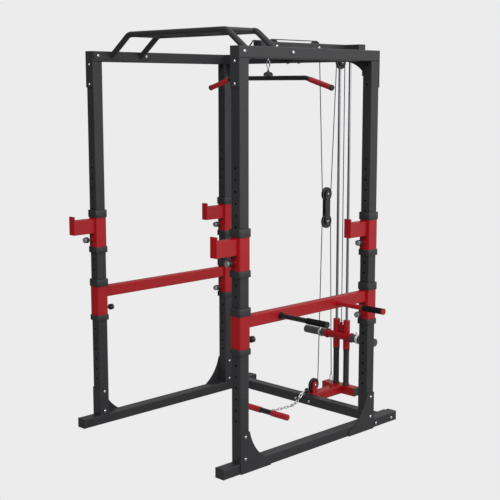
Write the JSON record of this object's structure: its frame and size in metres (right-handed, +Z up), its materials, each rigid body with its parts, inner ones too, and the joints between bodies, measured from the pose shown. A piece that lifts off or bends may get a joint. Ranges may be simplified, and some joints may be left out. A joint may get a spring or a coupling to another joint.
{
  "type": "power cage",
  "caption": "Power cage on long foot rails with sliding J-hooks and safety bars, multi-grip pull-up bar, dip handles, and a cable tower with lat bar, low row and weight horns.",
  "frame": {"origin": "on the floor under the centre of the overall box", "axes": "+Z up; +X to the user's right; the open front of the cage faces -Y"},
  "size_m": [1.455, 1.597, 2.123],
  "materials": {
    "charcoal": "satin powder coat",
    "red": "satin powder coat",
    "black_coat": "satin powder coat",
    "zinc": "bright",
    "chrome": "polished",
    "black_plastic": "matte",
    "foam": "matte",
    "red_grip": "matte",
    "cable": "semi-gloss",
    "pulley": "semi-gloss"
  },
  "bodies": {
    "frame": {"left_foot": "charcoal", "left_top_beam": "charcoal", "right_foot": "charcoal", "right_top_beam": "charcoal", "upright_front_left": "charcoal", "upright_rear_left": "charcoal", "upright_front_right": "charcoal", "upright_rear_right": "charcoal", "rear_crossbeam": "charcoal", "floor_crossmember": "charcoal", "pull_up_bar": "charcoal", "lat_boom": "charcoal", "lat_base": "red", "guide_rods": "chrome", "bumper_posts": "foam", "end_caps": "black_plastic", "frame_bolts": "zinc", "lat_cable_drop": "cable", "lat_cable_mid": "cable", "lat_cable_carriage": "cable", "row_cable": "cable"},
    "hook_front_left": {"hook_front_left": "red", "hook_trims_front_left": "black_plastic"},
    "hook_pin_front_left": {"hook_pin_front_left": "zinc"},
    "hook_rear_left": {"hook_rear_left": "red", "hook_trims_rear_left": "black_plastic"},
    "hook_pin_rear_left": {"hook_pin_rear_left": "zinc"},
    "hook_front_right": {"hook_front_right": "red", "hook_trims_front_right": "black_plastic"},
    "hook_pin_front_right": {"hook_pin_front_right": "zinc"},
    "hook_rear_right": {"hook_rear_right": "red", "hook_trims_rear_right": "black_plastic"},
    "hook_pin_rear_right": {"hook_pin_rear_right": "zinc"},
    "safety_left": {"safety_left": "red", "safety_trims_left": "black_plastic"},
    "safety_pin_front_left": {"safety_pin_front_left": "zinc"},
    "safety_pin_rear_left": {"safety_pin_rear_left": "zinc"},
    "safety_right": {"safety_right": "red", "safety_trims_right": "black_plastic", "front_dip_handle": "black_coat", "dip_grips": "foam"},
    "safety_pin_front_right": {"safety_pin_front_right": "zinc"},
    "safety_pin_rear_right": {"safety_pin_rear_right": "zinc"},
    "carriage": {"carriage_frame": "red", "weight_horns": "black_coat"},
    "spring_collar_left": {"spring_collar_left": "zinc"},
    "spring_collar_right": {"spring_collar_right": "zinc"},
    "lat_hanger": {"lat_hanger": "zinc"},
    "lat_bar": {"lat_bar": "black_coat", "lat_grips": "red_grip"},
    "row_handle": {"row_chain": "zinc", "row_bar": "black_coat", "row_grips": "red_grip"},
    "cable_block": {"block_plates": "black_coat"},
    "pulley_top_front": {"pulley_top_front": "pulley"},
    "pulley_top_middle": {"pulley_top_middle": "pulley"},
    "pulley_top_rear": {"pulley_top_rear": "pulley"},
    "pulley_block_top": {"pulley_block_top": "pulley"},
    "pulley_low": {"pulley_low": "pulley"},
    "pulley_block_low": {"pulley_block_low": "pulley"}
  },
  "joints": [
    {"name": "hook_front_left_height", "type": "slide", "parent": "frame", "child": "hook_front_left", "axis": [0, 0, 1], "range_m": [-0.055, 0.44]},
    {"name": "hook_pin_front_left_push", "type": "slide", "parent": "hook_front_left", "child": "hook_pin_front_left", "axis": [0, 1, 0], "range_m": [0, 0.0155]},
    {"name": "hook_rear_left_height", "type": "slide", "parent": "frame", "child": "hook_rear_left", "axis": [0, 0, 1], "range_m": [-0.055, 0.44]},
    {"name": "hook_pin_rear_left_push", "type": "slide", "parent": "hook_rear_left", "child": "hook_pin_rear_left", "axis": [0, 1, 0], "range_m": [0, 0.0155]},
    {"name": "hook_front_right_height", "type": "slide", "parent": "frame", "child": "hook_front_right", "axis": [0, 0, 1], "range_m": [-0.055, 0.44]},
    {"name": "hook_pin_front_right_push", "type": "slide", "parent": "hook_front_right", "child": "hook_pin_front_right", "axis": [0, 1, 0], "range_m": [0, 0.0155]},
    {"name": "hook_rear_right_height", "type": "slide", "parent": "frame", "child": "hook_rear_right", "axis": [0, 0, 1], "range_m": [-0.055, 0.44]},
    {"name": "hook_pin_rear_right_push", "type": "slide", "parent": "hook_rear_right", "child": "hook_pin_rear_right", "axis": [0, 1, 0], "range_m": [0, 0.0155]},
    {"name": "safety_left_height", "type": "slide", "parent": "frame", "child": "safety_left", "axis": [0, 0, 1], "range_m": [-0.33, 0.055]},
    {"name": "safety_pin_front_left_push", "type": "slide", "parent": "safety_left", "child": "safety_pin_front_left", "axis": [0, -1, 0], "range_m": [0, 0.0155]},
    {"name": "safety_pin_rear_left_push", "type": "slide", "parent": "safety_left", "child": "safety_pin_rear_left", "axis": [0, 1, 0], "range_m": [0, 0.0155]},
    {"name": "safety_right_height", "type": "slide", "parent": "frame", "child": "safety_right", "axis": [0, 0, 1], "range_m": [-0.33, 0.055]},
    {"name": "safety_pin_front_right_push", "type": "slide", "parent": "safety_right", "child": "safety_pin_front_right", "axis": [0, -1, 0], "range_m": [0, 0.0155]},
    {"name": "safety_pin_rear_right_push", "type": "slide", "parent": "safety_right", "child": "safety_pin_rear_right", "axis": [0, 1, 0], "range_m": [0, 0.0155]},
    {"name": "carriage_lift", "type": "slide", "parent": "frame", "child": "carriage", "axis": [0, 0, 1], "range_m": [0, 1], "deforming": ["lat_cable_carriage"]},
    {"name": "spring_collar_left_slide", "type": "slide", "parent": "carriage", "child": "spring_collar_left", "axis": [-1, 0, 0], "range_m": [0, 0.13]},
    {"name": "spring_collar_right_slide", "type": "slide", "parent": "carriage", "child": "spring_collar_right", "axis": [1, 0, 0], "range_m": [0, 0.13]},
    {"name": "lat_pull", "type": "slide", "parent": "frame", "child": "lat_hanger", "axis": [0, 0, -1], "range_m": [0, 1], "deforming": ["lat_cable_drop"]},
    {"name": "lat_swivel", "type": "hinge", "parent": "lat_hanger", "child": "lat_bar", "pos_m": [-0.1395, 0.123, 1.886], "axis": [0, 0, 1], "range_deg": [-60, 60]},
    {"name": "row_pull", "type": "slide", "parent": "frame", "child": "row_handle", "axis": [0, -1, 0], "range_m": [0, 0.6]},
    {"name": "block_drop", "type": "slide", "parent": "frame", "child": "cable_block", "axis": [0, 0, -1], "range_m": [0, 0.3], "deforming": ["lat_cable_mid", "row_cable"]},
    {"name": "pulley_top_front_spin", "type": "hinge", "parent": "frame", "child": "pulley_top_front", "pos_m": [-0.1395, 0.16, 2.057], "axis": [1, 0, 0], "range_deg": [0, 1554.5]},
    {"name": "pulley_top_middle_spin", "type": "hinge", "parent": "frame", "child": "pulley_top_middle", "pos_m": [-0.1395, 0.5035, 2.057], "axis": [1, 0, 0], "range_deg": [0, 1554.5]},
    {"name": "pulley_top_rear_spin", "type": "hinge", "parent": "frame", "child": "pulley_top_rear", "pos_m": [-0.1395, 0.7295, 1.981], "axis": [1, 0, 0], "range_deg": [0, 1554.5]},
    {"name": "pulley_block_top_spin", "type": "hinge", "parent": "cable_block", "child": "pulley_block_top", "pos_m": [-0.1395, 0.6165, 1.222], "axis": [1, 0, 0], "range_deg": [-1554.5, 0]},
    {"name": "pulley_low_spin", "type": "hinge", "parent": "frame", "child": "pulley_low", "pos_m": [-0.1395, 0.517, 0.095], "axis": [1, 0, 0], "range_deg": [-935.1, 0]},
    {"name": "pulley_block_low_spin", "type": "hinge", "parent": "cable_block", "child": "pulley_block_low", "pos_m": [-0.1395, 0.6165, 1.062], "axis": [1, 0, 0], "range_deg": [0, 470.6]}
  ],
  "couplings": [
    {"joint": "lat_pull", "follows": "carriage_lift", "ratio": 1},
    {"joint": "block_drop", "follows": "row_pull", "ratio": 0.5},
    {"joint": "pulley_top_front_spin", "follows": "carriage_lift", "rad_per_m": 27.027},
    {"joint": "pulley_top_middle_spin", "follows": "carriage_lift", "rad_per_m": 27.027},
    {"joint": "pulley_top_rear_spin", "follows": "carriage_lift", "rad_per_m": 27.027},
    {"joint": "pulley_block_top_spin", "follows": "carriage_lift", "rad_per_m": -27.027},
    {"joint": "pulley_low_spin", "follows": "row_pull", "rad_per_m": -27.027},
    {"joint": "pulley_block_low_spin", "follows": "row_pull", "rad_per_m": 13.514}
  ]
}
